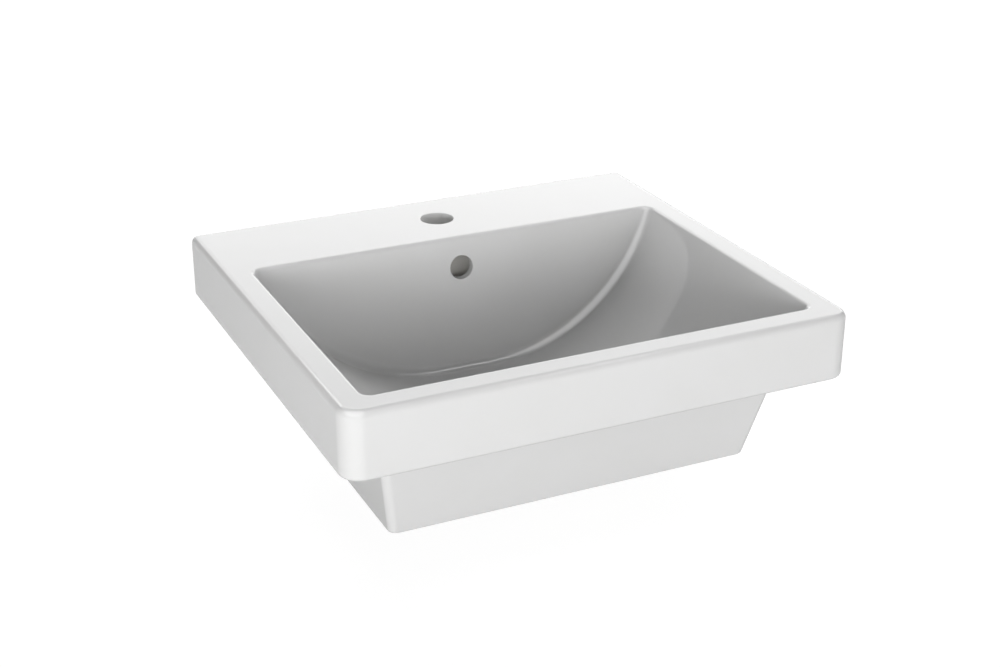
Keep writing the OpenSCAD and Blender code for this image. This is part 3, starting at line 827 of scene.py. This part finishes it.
# a look has plain values, patterns and what they do: tint and gloss are the colours and roughnesses along
# a pattern's range, and relief is a pattern's full height in millimetres
looks = {
    # white vitreous glaze: slow waviness from firing, fine orange peel, a trace of uneven thickness
    "glaze": {
        "name": "whiteGlaze", "colour": grey(glaze["tone"]), "roughness": glaze["smooth"],
        "patterns": {
            "cloud": {"size": 60, "detail": 3},
            "haze": {"size": 14, "detail": 4},
            "waves": {"size": 28, "detail": 1},
            "peel": {"size": 0.9, "detail": 2},
        },
        "tint": ("cloud", ((0.3, shaded(grey(glaze["tone"]), glaze["thinShare"])),
                           (0.7, grey(glaze["tone"])))),
        "gloss": ("haze", ((0.35, glaze["smooth"]), (0.7, glaze["dull"]))),
        "relief": (("waves", 0.02), ("peel", 0.004)),
        "sockets": {"IOR": 1.5},
    },
    # fired body where the glaze was wiped off: matt, faintly warm, with grit and sponge marks
    "clay": {
        "name": "bareClay", "colour": (0.68, 0.66, 0.62), "roughness": 0.75,
        "patterns": {
            "mottle": {"size": 35, "detail": 5, "roughness": 0.6},
            "haze": {"size": 6, "detail": 3},
            "sponge": {"size": 9, "detail": 4, "roughness": 0.6},
            "grit": {"size": 0.8, "detail": 3},
        },
        "tint": ("mottle", ((0.3, (0.62, 0.61, 0.58)), (0.55, (0.65, 0.64, 0.61)),
                            (0.75, (0.68, 0.67, 0.65)))),
        "gloss": ("haze", ((0.3, 0.62), (0.7, 0.85))),
        "relief": (("sponge", 0.25), ("grit", 0.05)),
    },
    # bright plate with a haze of fine polishing swirls and water spots
    "chrome": {
        "name": "chromePlate", "colour": (0.78, 0.79, 0.81), "roughness": 0.06, "metallic": 1,
        "patterns": {
            "haze": {"size": 11, "detail": 5, "roughness": 0.6},
            "turning": {"apart": 0.45, "centre": wasteAxis},
        },
        "tint": ("haze", ((0.3, (0.8, 0.81, 0.83)), (0.75, (0.74, 0.75, 0.77)))),
        "gloss": ("haze", ((0.35, 0.05), (0.62, 0.1), (0.8, 0.16))),
        "relief": (("turning", 0.0007),),
    },
    # moulded black rubber: matt, dusty in places, with fine moulding grain
    "rubber": {
        "name": "blackRubber", "colour": (0.025, 0.025, 0.027), "roughness": 0.6,
        "patterns": {
            "dust": {"size": 8, "detail": 5, "roughness": 0.6},
            "grain": {"size": 0.5, "detail": 3},
        },
        "tint": ("dust", ((0.4, (0.02, 0.02, 0.022)), (0.75, (0.055, 0.054, 0.052)))),
        "gloss": ("dust", ((0.3, 0.52), (0.75, 0.74))),
        "relief": (("grain", 0.03),),
        "sockets": {"Specular IOR Level": 0.35},
    },
    "washer_plastic": plasticLook("washerPlastic", (0.82, 0.82, 0.78), 0.42, 0.7, 0.02),
    # machined brass with turning marks and a little tarnish
    "nut_brass": {
        "name": "machinedBrass", "colour": (0.72, 0.56, 0.28), "roughness": 0.25, "metallic": 1,
        "patterns": {
            "tarnish": {"size": 5, "detail": 5, "roughness": 0.62},
            "turning": {"apart": 0.4, "centre": wasteAxis},
        },
        "tint": ("tarnish", ((0.35, (0.76, 0.6, 0.31)), (0.6, (0.68, 0.51, 0.25)),
                             (0.8, (0.58, 0.42, 0.2)))),
        "gloss": ("tarnish", ((0.35, 0.2), (0.8, 0.42))),
        "relief": (("turning", 0.012),),
    },
    "cartridge_plastic": plasticLook("whiteAcetal", grey(0.8), 0.36, 0.6, 0.012),
    "rotor_plastic": plasticLook("greyAcetal", (0.13, 0.13, 0.137), 0.38, 0.6, 0.012),
    # drawn wire: fine scratches, slightly dull
    "spring_steel": {
        "name": "springSteel", "colour": (0.6, 0.6, 0.62), "roughness": 0.3, "metallic": 1,
        "patterns": {
            "scratches": {"size": 0.6, "detail": 4, "centre": wasteAxis},
            "stain": {"size": 2.5, "detail": 3, "centre": wasteAxis},
            "grain": {"size": 0.25, "detail": 2, "centre": wasteAxis},
        },
        "tint": ("stain", ((0.3, (0.52, 0.52, 0.54)), (0.7, (0.66, 0.66, 0.68)))),
        "gloss": ("scratches", ((0.3, 0.22), (0.75, 0.42))),
        "relief": (("grain", 0.01),),
    },
    "core_plastic": plasticLook("greyPlastic", grey(0.21), 0.45, 0.8, 0.02),
}


def setSockets(node, values):
    for socket, value in values.items():
        node.inputs[socket].default_value = value


def makePattern(tree, pattern):
    # noise whose features are about size millimetres wide, or turning marks that many apart, in the
    # object's own coordinates about the pattern's centre
    nodes, links = tree.nodes, tree.links
    centre, stretch = pattern.get("centre", (0, 0, 0)), pattern.get("stretch", (1, 1, 1))
    mapping = nodes.new("ShaderNodeMapping")
    setSockets(mapping, {"Location": [-c * mm * s for c, s in zip(centre, stretch)], "Scale": stretch})
    links.new(nodes.new("ShaderNodeTexCoord").outputs["Object"], mapping.inputs["Vector"])
    if "apart" in pattern:
        node = nodes.new("ShaderNodeTexWave")
        node.wave_type = "RINGS"
        node.rings_direction = "Z"
        setSockets(node, {"Scale": waveTexture["period"] / (pattern["apart"] * mm),
                          "Distortion": waveTexture["distortion"], "Detail": waveTexture["detail"]})
    else:
        node = nodes.new("ShaderNodeTexNoise")
        setSockets(node, {"Scale": 1 / (pattern["size"] * mm), "Detail": pattern["detail"],
                          "Roughness": pattern.get("roughness", 0.5)})
    links.new(mapping.outputs["Vector"], node.inputs["Vector"])
    return node.outputs["Fac"]


def ramp(tree, value, stops):
    # stops are (position, colour or grey)
    node = tree.nodes.new("ShaderNodeValToRGB")
    marks = node.color_ramp.elements
    while len(marks) < len(stops):
        marks.new(0.5)
    for mark, (position, colour) in zip(marks, stops):
        mark.position = position
        mark.color = (*(colour if isinstance(colour, tuple) else grey(colour)), 1)
    tree.links.new(value, node.inputs["Fac"])
    return node.outputs["Color"]


def makeFinish(look):
    finish = bpy.data.materials.new(look["name"])
    finish.use_nodes = True
    tree = finish.node_tree
    shader = tree.nodes["Principled BSDF"]
    setSockets(shader, {"Base Color": (*look["colour"], 1), "Roughness": look["roughness"],
                        "Metallic": look.get("metallic", 0), **look.get("sockets", {})})
    patterns = {name: makePattern(tree, pattern) for name, pattern in look["patterns"].items()}
    for effect, socket in (("tint", "Base Color"), ("gloss", "Roughness")):
        if effect in look:
            name, stops = look[effect]
            tree.links.new(ramp(tree, patterns[name], stops), shader.inputs[socket])
    normal = None
    for name, depth in look.get("relief", ()):
        bump = tree.nodes.new("ShaderNodeBump")
        setSockets(bump, {"Strength": 1, "Distance": depth * mm})
        tree.links.new(patterns[name], bump.inputs["Height"])
        if normal:
            tree.links.new(normal, bump.inputs["Normal"])
        normal = bump.outputs["Normal"]
    if normal:
        tree.links.new(normal, shader.inputs["Normal"])
    return finish


finishes = {slot: makeFinish(look) for slot, look in looks.items()}
print("finishes made:", len(finishes))


# Pieces on their bodies

slotOf = {part["node"]: part["material_slot"] for part in frame["record"]["subparts"]}
bodyOf = {node: name for name, row in frame["record"]["behaviour"]["bodies"].items() for node in row}


def dress(obj, node, *dressing):
    # stands for the node, on the node's body and with its material slot
    for finish in dressing:
        obj.data.materials.append(finish)
    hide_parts(node)
    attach(obj, bodyOf[node])


basinCasting = makeCasting()
finishMesh(basinCasting, casting["sharp"])
dress(basinCasting, "basin", finishes["glaze"], finishes["clay"])
print("casting made")

wasteBody = makeWaste(finishes["chrome"])
finishMesh(wasteBody, waste["sharp"])
dress(wasteBody, "waste_body", finishes["chrome"])
plugCap = makePlugCap()
finishMesh(plugCap, plug["sharp"])
dress(plugCap, "plug_cap", finishes["chrome"])
print("waste and plug made")

for name, obj in frame["nodes"].items():
    if name not in ("basin", "waste_body", "plug_cap"):
        for place in obj.material_slots:
            place.material = finishes[slotOf[name]]
print("finishes on the other nodes")


# Floor and light

white = (1, 1, 1, 1)
sheet = {"gap": 0.2, "size": 9000.0, "tone": 0.4, "grainTone": 0.392, "glow": 0.14, "seenTone": 0.12,
         "seenGlow": 0.94}
floorLook = {
    "name": "paleFloor", "colour": grey(sheet["tone"]), "roughness": 0.8,
    "patterns": {"grain": {"size": 40, "detail": 3}},
    "tint": ("grain", ((0.3, grey(sheet["grainTone"])), (0.7, grey(sheet["tone"])))),
    "sockets": {"Emission Color": white, "Emission Strength": sheet["glow"], "Specular IOR Level": 0.1},
}
# the camera sees the sheet as bright as the background, the basin is lit by the duller look above
floorSeen = {"Base Color": (*grey(sheet["seenTone"]), 1), "Emission Color": white,
             "Emission Strength": sheet["seenGlow"], "Specular IOR Level": 0}
worldLight = {"light": 0.02, "seen": 1.0}
# bright part of the sky that only the object's own reflections show, before a diffuse bounce: its
# direction and half width in degrees
sheen = {"azimuth": 222, "elevation": 56, "inner": 30, "outer": 50, "strength": 4.4, "bounces": 0.5}
# soft boxes: direction from the basin in degrees (0 along +X, 90 along +Y), distance and size in metres;
# the glaze shows only those that are reflected, and the sheen stands for the others
lamps = {
    "rearWide": {"azimuth": 65, "elevation": 25, "distance": 3.2, "size": (5.0, 2.6), "power": 101.0,
                 "reflected": True},
    "rearHigh": {"azimuth": 65, "elevation": 55, "distance": 3.0, "size": (4.0, 2.0), "power": 44.0,
                 "reflected": True},
    "frontFloor": {"azimuth": 240, "elevation": 4, "distance": 2.4, "size": (1.2, 0.8), "power": 26.0},
    "frontLeft": {"azimuth": 225, "elevation": 12, "distance": 2.4, "size": (1.4, 1.2), "power": 10.5},
    "left": {"azimuth": 193, "elevation": 2, "distance": 2.4, "size": (1.4, 0.7), "power": 25.0},
    "frontHigh": {"azimuth": 285, "elevation": 30, "distance": 2.4, "size": (1.4, 1.4), "power": 7.0},
    "frontRight": {"azimuth": 292, "elevation": 9, "distance": 2.4, "size": (1.4, 1.1), "power": 17.0},
    "lipStrip": {"azimuth": 330, "elevation": 61, "distance": 2.5, "size": (0.9, 0.35), "power": 4.5,
                 "reflected": True},
    "right": {"azimuth": 345, "elevation": 10, "distance": 2.4, "size": (1.4, 1.0), "power": 5.0},
}


def mixForCamera(tree, path, lit, seen, output):
    # the camera's rays get the seen shader, all others the lit one
    mix = tree.nodes.new("ShaderNodeMixShader")
    tree.links.new(path["Is Camera Ray"], mix.inputs["Fac"])
    tree.links.new(lit.outputs[0], mix.inputs[1])
    tree.links.new(seen.outputs[0], mix.inputs[2])
    tree.links.new(mix.outputs["Shader"], output.inputs["Surface"])


def makeFloor():
    low = cadBounds[0][2] - sheet["gap"] * mm
    half = sheet["size"] * mm / 2
    mesh = bpy.data.meshes.new("floor")
    mesh.from_pydata([(-half, -half, low), (half, -half, low), (half, half, low), (-half, half, low)], [],
                     [(0, 1, 2, 3)])
    floor = bpy.data.objects.new("floor", mesh)
    scene.collection.objects.link(floor)
    finish = makeFinish(floorLook)
    tree = finish.node_tree
    seen = tree.nodes.new("ShaderNodeBsdfPrincipled")
    setSockets(seen, floorSeen)
    output = next(node for node in tree.nodes if node.type == "OUTPUT_MATERIAL")
    path = tree.nodes.new("ShaderNodeLightPath").outputs
    mixForCamera(tree, path, tree.nodes["Principled BSDF"], seen, output)
    mesh.materials.append(finish)


def direction(azimuth, elevation):
    level = cosd(elevation)
    return Vector((cosd(azimuth) * level, sind(azimuth) * level, sind(elevation)))


def mathNode(tree, operation, *values):
    # one calculation in a shader tree; each value is a number or another node's output
    node = tree.nodes.new("ShaderNodeMath")
    node.operation = operation
    for value, socket in zip(values, node.inputs):
        if isinstance(value, (int, float)):
            socket.default_value = value
        else:
            tree.links.new(value, socket)
    return node.outputs["Value"]


def makeWorld():
    # faint even light from all round, plain white behind the object for the camera, and the sheen's sky
    world = bpy.data.worlds.new("studio")
    scene.world = world
    world.use_nodes = True
    tree = world.node_tree
    nodes, links = tree.nodes, tree.links
    nodes.clear()
    path = nodes.new("ShaderNodeLightPath").outputs
    towards = nodes.new("ShaderNodeVectorMath")
    towards.operation = "DOT_PRODUCT"
    towards.inputs[1].default_value = direction(sheen["azimuth"], sheen["elevation"])
    links.new(nodes.new("ShaderNodeTexCoord").outputs["Generated"], towards.inputs[0])
    patch = nodes.new("ShaderNodeMapRange")
    patch.interpolation_type = "SMOOTHSTEP"
    setSockets(patch, {"From Min": cosd(sheen["outer"]), "From Max": cosd(sheen["inner"]),
                       "To Max": sheen["strength"]})
    links.new(towards.outputs["Value"], patch.inputs["Value"])
    first = mathNode(tree, "LESS_THAN", path["Diffuse Depth"], sheen["bounces"])
    reflected = mathNode(tree, "MULTIPLY", first, path["Is Glossy Ray"])
    strength = mathNode(tree, "MULTIPLY_ADD", reflected, patch.outputs["Result"], worldLight["light"])
    light, seen = nodes.new("ShaderNodeBackground"), nodes.new("ShaderNodeBackground")
    light.inputs["Color"].default_value = white
    links.new(strength, light.inputs["Strength"])
    setSockets(seen, {"Color": white, "Strength": worldLight["seen"]})
    mixForCamera(tree, path, light, seen, nodes.new("ShaderNodeOutputWorld"))


def makeLamp(name, lamp):
    # soft box that faces the middle of the rim's underside
    data = bpy.data.lights.new(name, "AREA")
    data.shape = "RECTANGLE"
    data.size, data.size_y = lamp["size"]
    data.energy = lamp["power"]
    obj = bpy.data.objects.new(name, data)
    place = direction(lamp["azimuth"], lamp["elevation"]) * lamp["distance"]
    obj.matrix_world = Matrix.Translation(place) @ (-place).to_track_quat("-Z", "Y").to_matrix().to_4x4()
    obj.visible_glossy = lamp.get("reflected", False)
    scene.collection.objects.link(obj)


makeFloor()
makeWorld()
for name, lamp in lamps.items():
    makeLamp(name, lamp)
scene.view_settings.view_transform = "Standard"
scene.view_settings.look = "None"
scene.view_settings.exposure = 0
scene.view_settings.gamma = 1
print("floor and lamps set:", len(lamps), "lamps")
